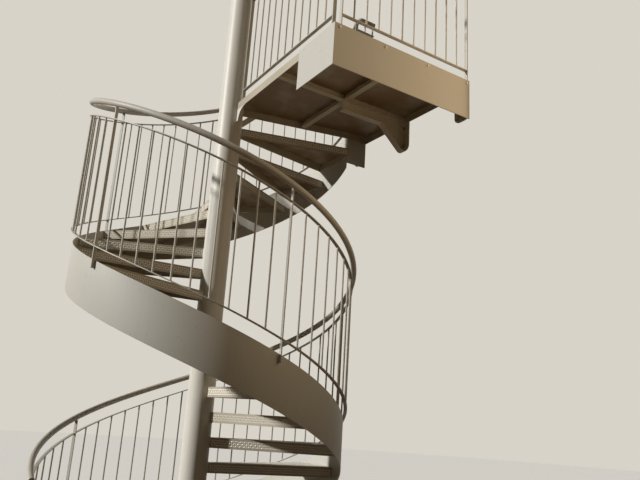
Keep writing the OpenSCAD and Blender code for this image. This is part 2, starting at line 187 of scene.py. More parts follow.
# %% [markdown]
# ## Twisted bars
#
# The stringer band, the flat rails and the handrail are rolled to the helix in a workshop. In
# Blender they could be curves with a bevel, but a flat bar on a curve tilts as it turns. Here
# an upright cut through the bar, given as radius and height, is carried along the helix, so
# its sides stay upright just as in rolled steel. A ring of points each degree makes it smooth.


# %% Carry an upright cut along the stair
def helix(a0, a1, profile, step=1.0):
    """Point j of ring i: profile radius r and height h turn to (r cos a, r sin a, h plus the
    height of the tread line at a), with a going from a0 to a1, and nothing goes below Z = 0."""
    a = np.linspace(a0, a1, int(np.ceil(abs(a1 - a0) / step)) + 1)[:, None]
    r, h = profile[:, 0][None], profile[:, 1][None]
    t = np.radians(a)
    return np.stack([r * np.cos(t), r * np.sin(t), np.maximum(nose_z(a) + h, 0.0)], -1)


def flat_cut(r, z, w, h, edge=0.0015, n=3):
    """A rectangle whose corners are quarter circles of radius edge, n + 1 points each."""
    q = np.radians(np.linspace(0, 90, n + 1))
    turn = np.concatenate([q + np.radians(k * 90) for k in range(4)])
    sx = np.repeat([1, -1, -1, 1], n + 1)
    sz = np.repeat([1, 1, -1, -1], n + 1)
    return np.stack([r + sx * (w / 2 - edge) + edge * np.cos(turn),
                     z + sz * (h / 2 - edge) + edge * np.sin(turn)], -1)


def round_cut(r, z, d, n=24):
    """A circle, made taller by the slope because the cut through it is upright."""
    t = 2 * np.pi * np.arange(n) / n
    return np.stack([r + d / 2 * np.cos(t), z + d / 2 * np.sin(t) / np.cos(slope(r))], -1)


print("the handrail climbs at", round(float(np.degrees(slope(HANDRAIL_R))), 1), "degrees")

# %% [markdown]
# Rolled bars come from the workshop in lengths that a lorry can carry, so the band and the
# handrail are each cut in three at posts. The uppermost tube stops a little short of its
# post, where an elbow takes over. A long cut for each bar would look the same, but a piece
# for each length keeps its place in the list of nodes.


# %% The stringer band and the handrail
def post_angle(n):
    """Angle of post n, counted from the landing down: one bay after another, then the foot."""
    return START if n > 8 else FIRST_POST + (n - 1) * BAY


def in_lengths(name, node, cut, slot, a0, a1):
    """One upright cut carried from a0 to a1 in three lengths that meet at posts 4 and 7."""
    ends = [a0, post_angle(4), post_angle(7), a1]
    for n in (1, 2, 3):
        piece("%s_%d" % (name, n), [solid(helix(ends[n - 1], ends[n], cut))], slot,
              ["%s_%d" % (node, n)])


# Radius of the elbow's bend, and the angle before the post at which it begins
ELBOW_R, ELBOW_ANGLE = 0.036, 3.0
band_cut = flat_cut(STRINGER_R - STRINGER_T / 2, -STRINGER_H / 2, STRINGER_T, STRINGER_H)
in_lengths("stringer_band", "stringer", band_cut, "plate_paint", EDGE, TOE)
in_lengths("handrail_tube", "handrail", round_cut(HANDRAIL_R, HANDRAIL_H, HANDRAIL_D),
           "guard_paint", post_angle(1) + ELBOW_ANGLE, START)

# %% [markdown]
# ## The guard
#
# Between two posts run eleven equal spaces with round balusters, welded to a flat rail below
# and another above. The posts are flat bars on edge, rounded below where they lap the band
# and hollowed above to seat the handrail. Each post is a grid: one parameter goes round its
# side view and the other through its thickness, so that it is one smooth closed skin.


# %% Turned parts and small welds
def turned(r, z, n=14):
    """A turned part on end: circles of n points, radius r[i] at height z[i]."""
    t = 2 * np.pi * np.arange(n) / n
    r, z = np.asarray(r, float)[:, None], np.asarray(z, float)[:, None]
    return solid(np.stack([r * np.cos(t), r * np.sin(t), z + 0 * t], -1))


def fillet(radius, size):
    """A weld bead round a bar, closed inside the bar half a millimetre below its skin. Its
    outline falls from the bar's side to the plate through a point nearer to the corner."""
    inside = radius - 0.0005
    return turned([inside, radius + size, radius + 0.45 * size, inside],
                  [-0.0002, -0.0002, 0.35 * size, size])


# %% Flat bars, posts and their places
def plate(outline, thickness, edge=0.001):
    """A flat plate across local Y from a side view in X and Z. Four rings of the outline: the
    faces are drawn in by the edge radius, so that its rim catches the light."""
    centre = outline.mean(0)
    drawn = outline + (centre - outline) / np.linalg.norm(centre - outline, axis=1)[:, None] * edge
    y = np.array([-0.5, -0.5, 0.5, 0.5]) * thickness + np.array([0, edge, -edge, 0])
    return solid(np.stack([np.stack([o[:, 0], np.full(len(o), d), o[:, 1]], -1)
                           for o, d in zip([drawn, outline, outline, drawn], y)]))


def bar(x0, x1, y, z, w, h, edge=0.001):
    """A flat bar along X: one rounded rectangle at four places, smaller at the two ends by the
    edge radius."""
    small, full = flat_cut(y, z, w - 2 * edge, h - 2 * edge, edge), flat_cut(y, z, w, h, edge)
    return solid(np.stack([np.stack([np.full(len(c), x), c[:, 0], c[:, 1]], -1) for x, c in
                           zip([x0, x0 + edge, x1 - edge, x1], [small, full, full, small])]))


def post_view(low, rail_z, round_end, width=POST_W, seat=HANDRAIL_R - STRINGER_R):
    """Side view of a post: half a circle or a square end below, straight sides, and a hollow
    top that follows the handrail's circle half a millimetre inside its skin, but stays 0.4 of
    its thickness below its centre. The seat is how far that centre is from the edge at X = 0."""
    x = np.linspace(width, 0, 15)
    away = np.sqrt(np.maximum(0, (HANDRAIL_D / 2) ** 2 - (x - seat) ** 2))
    top = np.stack([x, rail_z - np.maximum(0.4 * HANDRAIL_D, away - 0.0005)], -1)
    if round_end:
        t = np.radians(np.linspace(180, 360, 15))
        foot = np.stack([width / 2 * (1 + np.cos(t)), low + width / 2 * (1 + np.sin(t))], -1)
    else:
        foot = np.array([[0, low], [width, low]])
    return np.concatenate([top, foot])


def frame_at(angles, radius, z):
    """Directions and origin for copies on the stair: X away from the column, Y along the
    rail, Z up, and the origin at the radius and the given heights."""
    away, round_it = spokes(np.atleast_1d(angles))
    up = np.zeros_like(away) + UP
    return np.stack([away, round_it, up, radius * away + up * np.reshape(z, (-1, 1))], 1)


# %% [markdown]
# The bays are the same eight times, apart from the uppermost, which has a second post on the
# landing, and the lowest, which is shorter and ends on a foot plate. Every baluster is a copy
# of one turned bar, stood on the line of the tread fronts at its own angle, with a small weld
# round it at each rail. Separate objects would do as well, but there would be hundreds.

# %% The eight bays of the stair guard
# Reach of the weld round a baluster, half a post as an angle, and a rail's upright thickness
FILLET = 0.0035
half_post = np.degrees(POST_T / 2 / RAIL_R)
thick = RAIL_T / np.cos(slope(RAIL_R))
# Side view of the foot plate, 80 mm square and 8 mm thick, from its inner to its outer edge
FOOT_IN, FOOT_OUT, FOOT_T = -0.020, 0.060, 0.008
foot_view = np.array([[FOOT_IN, 0], [FOOT_OUT, 0], [FOOT_OUT, FOOT_T], [FOOT_IN, FOOT_T]])
for n in range(1, 9):
    upper, lower = post_angle(n), post_angle(n + 1)
    count = LAST_SPACES if n == 8 else SPACES
    at = upper + np.arange(1, count) * BAY / SPACES
    parts = [solid(helix(upper + half_post, lower, flat_cut(RAIL_R, z, RAIL_W, thick)))
             for z in (BOTTOM_RAIL_H, TOP_RAIL_H)]
    parts.append(repeated(turned([BALUSTER_D / 2] * 2, [BOTTOM_RAIL_H, TOP_RAIL_H]),
                          frame_at(at, RAIL_R, nose_z(at))))
    parts.append(repeated(fillet(BALUSTER_D / 2, FILLET),
                          frame_at(at, RAIL_R, nose_z(at) + BOTTOM_RAIL_H + thick / 2)))
    bead_down = frame_at(at, RAIL_R, nose_z(at) + TOP_RAIL_H - thick / 2)
    bead_down[:, 1:3] *= -1
    parts.append(repeated(fillet(BALUSTER_D / 2, FILLET), bead_down))
    posts = [(lower, float(nose_z(lower)) - POST_LAP if n < 8 else 0.0, n < 8)]
    if n == 1:
        posts.append((upper, LEVEL, False))
    for a, low, round_end in posts:
        view = post_view(low, float(nose_z(a)) + HANDRAIL_H, round_end)
        parts.append(repeated(plate(view, POST_T), frame_at(a, STRINGER_R, 0)))
    if n == 8:
        foot = plate(foot_view, FOOT_OUT - FOOT_IN)
        parts.append(repeated(foot, frame_at(lower, STRINGER_R, 0)))
    piece("guard_bay_%d" % n, parts, "guard_paint", ["guard_%d" % n])

# %% [markdown]
# The guard of the landing has the same parts, but it is straight and stands on the deck just
# inside its edge. One panel is made along X and then turned to its side of the landing, which
# is simpler than two that are each made in place.


# %% One straight panel of the guard
def frame_on(origins, x_dir, y_dir):
    """Directions and origins for copies that all face the same way, Z being X cross Y."""
    origins = np.atleast_2d(np.asarray(origins, float))
    x_dir, y_dir = np.asarray(x_dir, float), np.asarray(y_dir, float)
    same = np.stack([x_dir, y_dir, np.cross(x_dir, y_dir)])
    return np.concatenate([np.repeat(same[None], len(origins), 0), origins[:, None]], 1)


def level_panel(length, spaces, seats):
    """Rails, balusters with their welds, and posts, along X from 0 to the length. Y points on
    to the deck. seats are the handrail's distances from the outer face at the two posts."""
    at = np.arange(1, spaces) * length / spaces
    places = np.stack([at, 0 * at + RAIL_W / 2, 0 * at], -1)
    low = frame_on(places + (LEVEL_BOTTOM + RAIL_T / 2) * UP, X_AXIS, Y_AXIS)
    high = frame_on(places + (LEVEL_TOP - RAIL_T / 2) * UP, X_AXIS, -Y_AXIS)
    parts = [bar(0, length, RAIL_W / 2, z, RAIL_W, RAIL_T) for z in (LEVEL_BOTTOM, LEVEL_TOP)]
    parts.append(repeated(turned([BALUSTER_D / 2] * 2, [LEVEL_BOTTOM, LEVEL_TOP]),
                          frame_on(places, X_AXIS, Y_AXIS)))
    parts += [repeated(fillet(BALUSTER_D / 2, FILLET), where) for where in (low, high)]
    for x, seat in zip((0, length), seats):
        view = post_view(0, LEVEL_RAIL_H, False, LEVEL_POST_W, seat)
        parts.append(repeated(plate(view, POST_T), frame_on((x, 0, 0), Y_AXIS, -X_AXIS)))
    return parts


# %% [markdown]
# The level handrail leaves the column, bends round the outer corner and ends in a flat disc,
# a rosette. The two posts beside the corner seat it a little further in than the others do.
# It could be a bevelled curve, but rings of points carried along a path meet the column's
# round side exactly.


# %% The two panels of the landing
# Centre of the bend, then how far in from the outer face each corner post seats the tube
straight = LEVEL_POST_W / 2
bend_x, bend_y = DECK_SIDE - straight - BEND, FRONT_GUARD_Y + straight + BEND
seat_front = bend_y - np.sqrt(BEND ** 2 - (CORNER_X - bend_x) ** 2) - FRONT_GUARD_Y
seat_side = DECK_SIDE - bend_x - np.sqrt(BEND ** 2 - (SIDE_START - bend_y) ** 2)
front = frame_on((FIRST_X, FRONT_GUARD_Y, LEVEL), X_AXIS, Y_AXIS)
side = frame_on((DECK_SIDE, SIDE_START, LEVEL), Y_AXIS, -X_AXIS)
FRONT_SPACES, SIDE_SPACES = 12, 11
panel = level_panel(CORNER_X - FIRST_X, FRONT_SPACES, (straight, seat_front))
piece("landing_panel_front", [repeated(p, front) for p in panel], "guard_paint",
      ["landing_guard_front"])
panel = level_panel(SIDE_END - SIDE_START, SIDE_SPACES, (seat_side, straight))
piece("landing_panel_side", [repeated(p, side) for p in panel], "guard_paint",
      ["landing_guard_side"])


# %% The handrail of the landing
def tube_along(path, radius, n=24):
    """A round bar along a level path: at each point a circle square to the path, from the
    direction that is level and square to it and from the direction straight up."""
    along = np.gradient(path, axis=0)
    along /= np.linalg.norm(along, axis=1)[:, None]
    across = np.cross(along, UP)
    t = 2 * np.pi * np.arange(n) / n
    sideways, upwards = np.cos(t)[None, :, None], np.sin(t)[None, :, None]
    return path[:, None] + radius * (across[:, None] * sideways + UP * upwards)


# A point 10 mm before and after the bend keeps the straight lengths straight
NEAR = 0.010
turn = np.radians(np.linspace(-90, 0, 19))
corner = np.stack([bend_x + BEND * np.cos(turn), bend_y + BEND * np.sin(turn)], -1)
path = np.concatenate([[[COLUMN_R, bend_y - BEND], [bend_x - NEAR, bend_y - BEND]], corner,
                       [[bend_x + BEND, bend_y + NEAR], [bend_x + BEND, LANDING_Y]]])
path = np.concatenate([path, np.full((len(path), 1), LEVEL + LEVEL_RAIL_H)], 1)
rail = tube_along(path, HANDRAIL_D / 2)
# The first ring is pushed along X on to the column's side, half a millimetre deep
rail[0, :, 0] = np.sqrt((COLUMN_R - 0.0005) ** 2 - rail[0, :, 1] ** 2)
# The rosette is a disc of 90 mm, 6 mm thick, with a rounded rim and a small weld to the tube
rosette = turned([0.045, 0.045, 0.0435, 0.026, 0.0255], [0, 0.0045, 0.006, 0.006, 0.008], 48)
rosette_at = frame_on((bend_x + BEND, LANDING_Y, LEVEL + LEVEL_RAIL_H), X_AXIS, UP)
piece("landing_handrail_tube", [solid(rail), repeated(rosette, rosette_at)], "guard_paint",
      ["landing_handrail"])

# %% [markdown]
# From the uppermost post a short guard runs straight to the landing's far side: two flat
# rails, two round uprights and the handrail, which turns off the helix in a tight elbow. The
# elbow is a circle's arc between two straight lines, where a smoothed curve would bulge.


# %% The short guard beside the landing
def elbow_path(start, corner, onward, radius, n=13):
    """The start, then n points of a circle's arc that leaves the line from the start to the
    corner and joins the line onward from the corner. The arc is turned from one spoke of the
    circle to the other by weights with sines, which keeps its radius."""
    before = (corner - start) / np.linalg.norm(corner - start)
    angle = np.arccos(before @ onward)
    reach = radius * np.tan(angle / 2)
    first, last = corner - reach * before, corner + reach * onward
    inward = (onward - before) / np.linalg.norm(onward - before)
    centre = corner + inward * radius / np.cos(angle / 2)
    s = np.linspace(0, 1, n)[:, None]
    arc = np.sin((1 - s) * angle) * (first - centre) + np.sin(s * angle) * (last - centre)
    return np.concatenate([[start], centre + arc / np.sin(angle)])


away, _ = spokes(FIRST_POST)
over = float(nose_z(FIRST_POST))
rail_x, rail_y = RAIL_R * away[0], RAIL_R * away[1] + POST_T / 2
last_y = LANDING_Y - BALUSTER_D
corner = HANDRAIL_R * away + (over + HANDRAIL_H) * UP
above, _ = spokes(FIRST_POST + ELBOW_ANGLE)
tube_start = HANDRAIL_R * above + (nose_z(FIRST_POST + ELBOW_ANGLE) + HANDRAIL_H) * UP
elbow = elbow_path(tube_start, corner, Y_AXIS, ELBOW_R)
short = frame_on((rail_x, rail_y, 0), Y_AXIS, -X_AXIS)
parts = [repeated(bar(0, LANDING_Y - rail_y, 0, over + z, RAIL_W, RAIL_T), short)
         for z in (BOTTOM_RAIL_H, TOP_RAIL_H)]
uprights = [(rail_x, (rail_y + last_y) / 2, 0), (rail_x, last_y, 0)]
parts.append(repeated(turned([BALUSTER_D / 2] * 2, [over + BOTTOM_RAIL_H, over + HANDRAIL_H]),
                      frame_on(uprights, X_AXIS, Y_AXIS)))
path = np.concatenate([elbow, [[corner[0], LANDING_Y, corner[2]]]])
parts.append(solid(tube_along(path, HANDRAIL_D / 2)))
piece("end_guard_panel", parts, "guard_paint", ["end_guard"])

# %% [markdown]
# ## Tear plate
#
# The treads and the landing are folded from floor plate, whose raised tears were rolled in by
# the mill. They stand in rows, turned left and right by turns, 17.5 mm apart. A bump texture
# would do from afar, but real ridges catch the sun along their flanks, so each tear is a tiny
# closed solid of eight points, six round its foot and two along its ridge. They are placed by
# a lattice over the flat shape, as arrays.


# %% Lay the tears on a flat area
PITCH, TEAR_L, TEAR_W, TEAR_H = 0.0175, 0.0200, 0.0072, 0.0020
# How far the middle of a tear keeps from the column and the rims, from the landing's outer
# plate, from the folded edges of a tread, and from the rims of its lips
CLEAR, SIDE_CLEAR, FOLD_CLEAR, LIP_CLEAR = 0.012, 0.010, 0.009, 0.006
# The foot sinks a tenth of a millimetre into the plate, so that no light shows under it
SUNK = 0.0001
half, wide = TEAR_L / 2, TEAR_W / 2
tear = (np.array([[-half, 0, 0], [-half / 2, -wide, 0], [half / 2, -wide, 0], [half, 0, 0],
                  [half / 2, wide, 0], [-half / 2, wide, 0],
                  [-half / 2, 0, TEAR_H], [half / 2, 0, TEAR_H]]) - [0, 0, SUNK],
        np.array([[0, 5, 4, 3], [0, 3, 2, 1], [1, 2, 7, 6], [4, 5, 6, 7]]),
        np.array([[0, 1, 6], [2, 3, 7], [3, 4, 7], [5, 0, 6]]))
print("a tear has", len(tear[0]), "points,", len(tear[1]), "quads and", len(tear[2]), "triangles")


def tears(keep, u0, u1, v0, v1, x_dir, y_dir, origin):
    """Copies of the tear on a square lattice over u and v. Its long side points along u plus
    v or u minus v by turns, and keep(u, v) says which points lie on the plate."""
    u, v = np.meshgrid(np.arange(u0 + PITCH / 2, u1, PITCH), np.arange(v0 + PITCH / 2, v1, PITCH))
    turn = (np.indices(u.shape).sum(0) % 2 * 2 - 1)[keep(u, v)].astype(float)
    u, v = u[keep(u, v)], v[keep(u, v)]
    long = (x_dir + turn[:, None] * y_dir) / np.sqrt(2)
    side = (y_dir - turn[:, None] * x_dir) / np.sqrt(2)
    normal = np.cross(x_dir, y_dir) + 0 * long
    place = origin + u[:, None] * x_dir + v[:, None] * y_dir
    return repeated(tear, np.stack([long, side, normal, place], 1))


def tread_tears(k):
    """The tears of tread k on its top, its front lip and its rear lip. The lattice of a lip
    starts 4 mm below the lip, which leaves three rows on it."""
    span = np.radians(TURN + OVERLAP)
    x, y = spokes(tread_front(k))
    rear, _ = spokes(tread_front(k) - TURN - OVERLAP)
    origin = UP * k * RISER
    lip_start, lip_end = -TREAD_LIP - 0.004, -TREAD_LIP + LIP_CLEAR
    # A little more than a tread is wide where it meets the band
    widest = 0.6

    def along(u):
        return (u > COLUMN_R + CLEAR) & (u < TREAD_R - CLEAR)

    def on_top(u, v):
        r, a = np.hypot(u, v), np.arctan2(-v, u)
        edge = FOLD_CLEAR / np.maximum(r, COLUMN_R)
        return along(r) & (a > edge) & (a < span - edge)

    def on_lip(u, v):
        return along(u) & (v < -LIP_CLEAR) & (v > lip_end)

    return [tears(on_top, 0, TREAD_R, -widest, 0, x, y, origin),
            tears(lambda u, v: on_lip(-u, v), -TREAD_R, 0, lip_start, 0, -x, UP, origin),
            tears(on_lip, 0, TREAD_R, lip_start, 0, rear, UP, origin)]


# %% Tears on the treads
for first, last in [(1, 8), (9, 15), (16, TREADS)]:
    parts = sum([tread_tears(k) for k in range(first, last + 1)], [])
    piece("tread_tears_%02d_to_%02d" % (first, last), parts, "tread_plate")


# %% Tears on the landing
# The front rim stands 6 mm in, and 14 mm where the return plate is in front of it. Past the
# end of the band the stair's edge runs on along Y.
FRONT_RIM, RETURN_RIM = 0.006, 0.014
BAND_END_Y, STRAIGHT_EDGE_X = 1.11, 0.258


def on_deck(u, v):
    """The landing from above: clear of the column, of the slanting stair edge and of the rims."""
    away, _ = spokes(EDGE)
    stair = u * away[1] - v * away[0]
    front = np.where(u < RETURN_X, FRONT_RIM, RETURN_RIM) + CLEAR
    corner = (v > BAND_END_Y) & (u < STRAIGHT_EDGE_X + CLEAR)
    return ((np.hypot(u, v) > COLUMN_R + CLEAR) & (v > front) & (v < LANDING_Y - CLEAR)
            & (u < DECK_SIDE - SIDE_CLEAR) & (stair > CLEAR) & ~corner)


deck = tears(on_deck, 0, LANDING_X, 0, LANDING_Y, X_AXIS, Y_AXIS, LEVEL * UP)
piece("landing_tears", [deck], "tread_plate")

# %% [markdown]
# ## Welds
#
# Where two plates meet, a welder lays a bead, and its small ripples are what the eye reads as
# made by hand. A bead is a triangle with a hollow face, carried along the joint. Its size
# swells and sinks a little every 4 mm. A bump could draw the ripples, but only a real bead
# closes the corner between two plates. Treads are welded to the column and stitched to the
# band, posts to the band and the deck, and the beams under the deck have short stitches.


# %% A weld bead along a path
# Length of a ripple, of a step along the bead and of its tapered ends, and how deep it sinks
RIPPLE, BEAD_STEP, BEAD_END, BEAD_SUNK = 0.004, 0.0016, 0.006, 0.0008


def bead(path, a, b, size=0.005):
    """Carries four points along the path: just behind the corner, out along direction a, the
    hollow face between, and out along b. The reach is the size, swelling by an eighth with
    the sine of the distance over a ripple, and it falls to a third at both ends."""
    length = np.concatenate([[0], np.cumsum(np.linalg.norm(np.diff(path, axis=0), axis=1))])
    at = np.linspace(0, length[-1], max(4, int(length[-1] / BEAD_STEP)))

    def along(values):
        values = np.broadcast_to(values, path.shape)
        return np.stack([np.interp(at, length, values[:, q]) for q in range(3)], -1)

    spot, a, b = along(path), along(a), along(b)
    taper = np.minimum(1, 0.33 + np.minimum(at, at[-1] - at) / BEAD_END)
    s = (size * taper * (1 + 0.125 * np.sin(2 * np.pi * at / RIPPLE)))[:, None]
    return solid(np.stack([spot - BEAD_SUNK * (a + b), spot + s * a, spot + 0.42 * s * (a + b),
                           spot + s * b], 1))


def line(p, q):
    """A straight path between two points."""
    return np.stack([np.asarray(p, float), np.asarray(q, float)])


# %% Beads of the treads
# A bead keeps 3 mm from the two ends of a lip, and a stitch on the band turns 2.5 degrees
LIP_GAP, STITCH_TURN = 0.003, 2.5
beads = []
for k in range(1, TREADS + 1):
    front = tread_front(k)
    # Round the column on top of the tread, between the overlaps with the next treads
    ring, _ = spokes(np.linspace(front - OVERLAP, front - TURN, 13))
    beads.append(bead(COLUMN_R * ring + k * RISER * UP, ring, UP))
    # Up the column behind the front lip and behind the rear lip
    for angle, hand in ((front, 1), (front - TURN - OVERLAP, -1)):
        away, round_it = spokes(angle)
        foot = COLUMN_R * away + (k * RISER - TREAD_LIP + LIP_GAP) * UP
        joint = line(foot, foot + (TREAD_LIP - 2 * LIP_GAP) * UP)
        beads.append(bead(joint, away, hand * round_it))
    # Three stitches on the band under the end lip
    for share in (0.15, 0.5, 0.85):
        ring, _ = spokes(front - share * TURN + np.linspace(0, -STITCH_TURN, 4))
        beads.append(bead(TREAD_R * ring + (k * RISER - END_LIP) * UP, -ring, -UP))
piece("tread_welds", beads, "column_paint")

# %% Beads of the posts
# A bead stops 2 mm before the end of its joint, and a post's bead is 4 mm wide
POST_GAP, POST_BEAD = 0.002, 0.004
beads = []
for n in range(1, 9):
    away, round_it = spokes(post_angle(n))
    over = float(nose_z(post_angle(n)))
    low = LEVEL if n == 1 else over - POST_LAP + POST_W / 2
    for hand in (-1, 1):
        foot = STRINGER_R * away + hand * POST_T / 2 * round_it
        beads.append(bead(line(foot + UP * low, foot + UP * (over - POST_GAP)), away,
                          hand * round_it, POST_BEAD))
# On the landing each post is welded to the deck along both of its faces
for spots, wide in (([(FIRST_X, FRONT_GUARD_Y), (CORNER_X, FRONT_GUARD_Y)], Y_AXIS),
                    ([(DECK_SIDE, SIDE_START), (DECK_SIDE, SIDE_END)], -X_AXIS)):
    thin = np.cross(wide, UP)
    for x, y in spots:
        for hand in (-1, 1):
            foot = np.array([x, y, LEVEL]) + hand * POST_T / 2 * thin
            joint = line(foot + POST_GAP * wide, foot + (LEVEL_POST_W - POST_GAP) * wide)
            beads.append(bead(joint, hand * thin, UP, POST_BEAD))
piece("post_welds", beads, "guard_paint")

# %% Stitches under the deck
# Each crossed beam is 8 mm thick and has a stitch of 50 mm on both sides, every 200 or 190 mm
BEAM_T, STITCH = 0.008, 0.050
under = (LEVEL - DECK_T) * UP
beads = []
for along, across, beam, starts in ((X_AXIS, Y_AXIS, CROSS_Y, np.arange(0.22, 1.6, 0.2)),
                                    (Y_AXIS, X_AXIS, CROSS_X, np.arange(0.1, 1.25, 0.19))):
    for start in starts:
        for hand in (-1, 1):
            foot = start * along + (beam + hand * BEAM_T / 2) * across + under
            beads.append(bead(line(foot, foot + STITCH * along), hand * across, -UP))
piece("stitch_welds", beads, "underside_paint")

# %% [markdown]
# ## Bolts
#
# Four hexagon heads hold the side plate to the deck, and anchors hold the upright plates at
# the back, the base plate and the lowest post. A bolt is a washer, a hexagon with a chamfered
# crown and, on anchors, the end of the threaded bar. All are turned parts, the hexagon being
# a circle of only six points, so no other way of making it is needed.


# %% Heads, nuts and anchors
def bolt(across, washer, stud):
    """Washer, hexagon and stud end, standing on Z = 0. The washer sinks half a millimetre into
    the plate. The hexagon is 0.4 times as high as it is wide, and its chamfer shrinks the last
    ring to nine tenths. The stud is 0.6 times as wide as the hexagon."""
    r, top = across / np.sqrt(3), 0.0015
    parts = [turned([washer, washer, washer - 0.0004], [-0.0005, top, top + 0.0004], 20),
             turned([r, r, 0.9 * r], [top, top + 0.32 * across, top + 0.4 * across], 6)]
    if stud:
        end = top + 0.4 * across + stud
        parts.append(turned([0.3 * across, 0.3 * across, 0.25 * across],
                            [0.001, end, end + 0.0015], 12))
    return parts


def bolts(origins, x_dir, y_dir, across, washer, stud=0.0):
    """The same bolt at each origin. It stands along X cross Y."""
    return [repeated(p, frame_on(origins, x_dir, y_dir)) for p in bolt(across, washer, stud)]


# %% The bolts of the landing's side
# Width across the flats, radius of the washer and, for an anchor, length of the stud
M8, M10 = (0.013, 0.009), (0.017, 0.012)
M16, M20 = (0.024, 0.0165, 0.012), (0.030, 0.0225, 0.018)
# They stand 10 mm below the walking surface, near the ends and at thirds of the side
edge_bolts = [(LANDING_X, y, LEVEL - 0.010) for y in (0.053, 0.469, 0.886, 1.306)]
heads = bolts(edge_bolts, Y_AXIS, UP, *M10)
piece("deck_edge_bolts", heads, "plate_paint", angle=30)

# %% The anchors
# Each plate at the back has anchors at two X and at two depths below the walking surface
BACK_PLATE_T = 0.012
knee_plate = (0.815, 0.875), (0.118, 0.292)
outer_plate = (1.548, 1.604), (0.118, 0.266)
corner_plate = (0.1542, 0.2142), (0.118, 0.222)
back_anchors = [(x, LANDING_Y - BACK_PLATE_T, LEVEL - depth)
                for xs, depths in (knee_plate, outer_plate, corner_plate)
                for x in xs for depth in depths]
# The base plate is 20 mm thick, with a square of anchors 330 mm wide
BASE_T, BASE_REACH = 0.020, 0.165
base_anchors = [(x, y, BASE_T) for x in (-BASE_REACH, BASE_REACH)
                for y in (-BASE_REACH, BASE_REACH)]
# The lowest post has four small bolts on its foot plate, in a square 56 mm wide
away, round_it = spokes(START)
middle = (STRINGER_R + (FOOT_IN + FOOT_OUT) / 2) * away + FOOT_T * UP
FOOT_REACH = 0.028
foot_anchors = [middle + x * away + y * round_it for x in (-FOOT_REACH, FOOT_REACH)
                for y in (-FOOT_REACH, FOOT_REACH)]
parts = bolts(back_anchors, X_AXIS, UP, *M16)
parts += bolts(base_anchors, X_AXIS, Y_AXIS, *M20)
parts += bolts(foot_anchors, X_AXIS, Y_AXIS, *M8)
piece("anchor_bolts", parts, "base_steel", angle=30)

# %% [markdown]
# ## Camera
#
# The camera stands at the height of an eye, five and a half metres from the column, and looks
# up by 15 degrees. Its place, its three turns and its focal length come from a fit to points
# of the stair, which is surer than moving it by hand until the view seems right.

# %% Camera
CAMERA_AT = [5.0506, -2.1410, 1.7206]
YAW, TILT, ROLL = 57.793, 15.495, 3.594
# Focal length in pixels of a frame that is 640 pixels wide, and width of the sensor in mm
FOCAL, FRAME_W, SENSOR_W = 650.118, 640, 36.0
scene = bpy.context.scene
yaw, tilt, roll = np.radians([YAW, TILT, ROLL])
ahead = np.array([-np.sin(yaw), np.cos(yaw), 0])
look = np.cos(tilt) * ahead + np.sin(tilt) * UP
top = -np.sin(tilt) * ahead + np.cos(tilt) * UP
right = np.cross(look, top)
matrix = np.eye(4)
matrix[:3, 0] = np.cos(roll) * right + np.sin(roll) * top
matrix[:3, 1] = -np.sin(roll) * right + np.cos(roll) * top
matrix[:3, 2] = -look
matrix[:3, 3] = CAMERA_AT
lens = bpy.data.cameras.new("camera")
lens.sensor_width, lens.lens = SENSOR_W, FOCAL / FRAME_W * SENSOR_W
# Nothing is drawn beyond 200 m, and the floor ends long before
lens.clip_end = 200
camera = bpy.data.objects.new("camera", lens)
camera.matrix_world = Matrix(matrix.tolist())
scene.collection.objects.link(camera)
scene.camera = camera
scene.view_settings.view_transform = "Standard"
print("camera at", CAMERA_AT, "with a lens of", round(lens.lens, 1), "mm")

# %% [markdown]
# ## Materials
#
# Colours are written as the hex values that a painter would match on screen, and one function
# turns them to the linear numbers that the shader works with. Another adds a node with its
# settings and links in one call, which keeps a finish as short as its description.


# %% Colour and node helpers
def colour(code):
    """sRGB hex to linear: each channel c becomes ((c + 0.055) / 1.055) to the power 2.4, and
    very dark ones are divided by 12.92."""
    c = np.array([int(code[k:k + 2], 16) for k in (1, 3, 5)]) / 255
    return (*np.where(c < 0.04045, c / 12.92, ((c + 0.055) / 1.055) ** 2.4), 1.0)


def add(tree, kind, inputs=None, out=None, **settings):
    """One node: its settings first, then each input gets a number or a link. Gives back the
    output that is named, or else the node."""
    node = tree.nodes.new(kind)
    for key, value in settings.items():
        setattr(node, key, value)
    for key, value in (inputs or {}).items():
        if isinstance(value, bpy.types.NodeSocket):
            tree.links.new(value, node.inputs[key])
        else:
            node.inputs[key].default_value = value
    return node.outputs[out] if out else node


print("half grey, #808080, is", round(float(colour("#808080")[0]), 3), "in linear light")

# %% [markdown]
# The steel is primed and sprayed with a light grey coat, which years outdoors make matt. The
# coat stays even, with a faint cloudy drift. Dust settles on what faces up. On what faces down
# brown is laid in patches: partly dirt that rain never washes off, and partly painted shade,
# since the undersides sit in shade. Rust starts where a chip goes through to the steel, most of
# all on the base plate. Images of paint could do the same, but noise in three dimensions needs
# no unwrapping and runs on from one face to the next.


# %% Patterns and layers of weathered paint
MM = 0.001
# Noise: width of a lump in millimetres, steps of finer lumps in it, and how strong these are.
# The skin of sprayed paint has lumps of 1 or 2 mm, but they show only when drawn 4 mm wide.
PATTERNS = {"drift": (700, 1, 0.5), "patches": (300, 4, 0.5), "waves": (250, 1, 0.5),
            "spots": (50, 5, 0.65), "chips": (12, 6, 0.7), "skin": (4, 2, 0.5)}
STREAK_W, STREAK_L = 20 * MM, 400 * MM


def layer(tree, under, code, where, start, full, most=1.0):
    """A colour laid over another. A number that varies over the surface says where: the layer
    begins at start, and from full on it covers the share most of what is under it. Gives back
    the new colour and the share that is covered."""
    share = add(tree, "ShaderNodeMapRange", {"Value": where, "From Min": start,
                                             "From Max": full, "To Max": most}, "Result")
    mixed = add(tree, "ShaderNodeMix", {"Factor": share, "A": under, "B": colour(code)},
                "Result", data_type="RGBA")
    return mixed, share


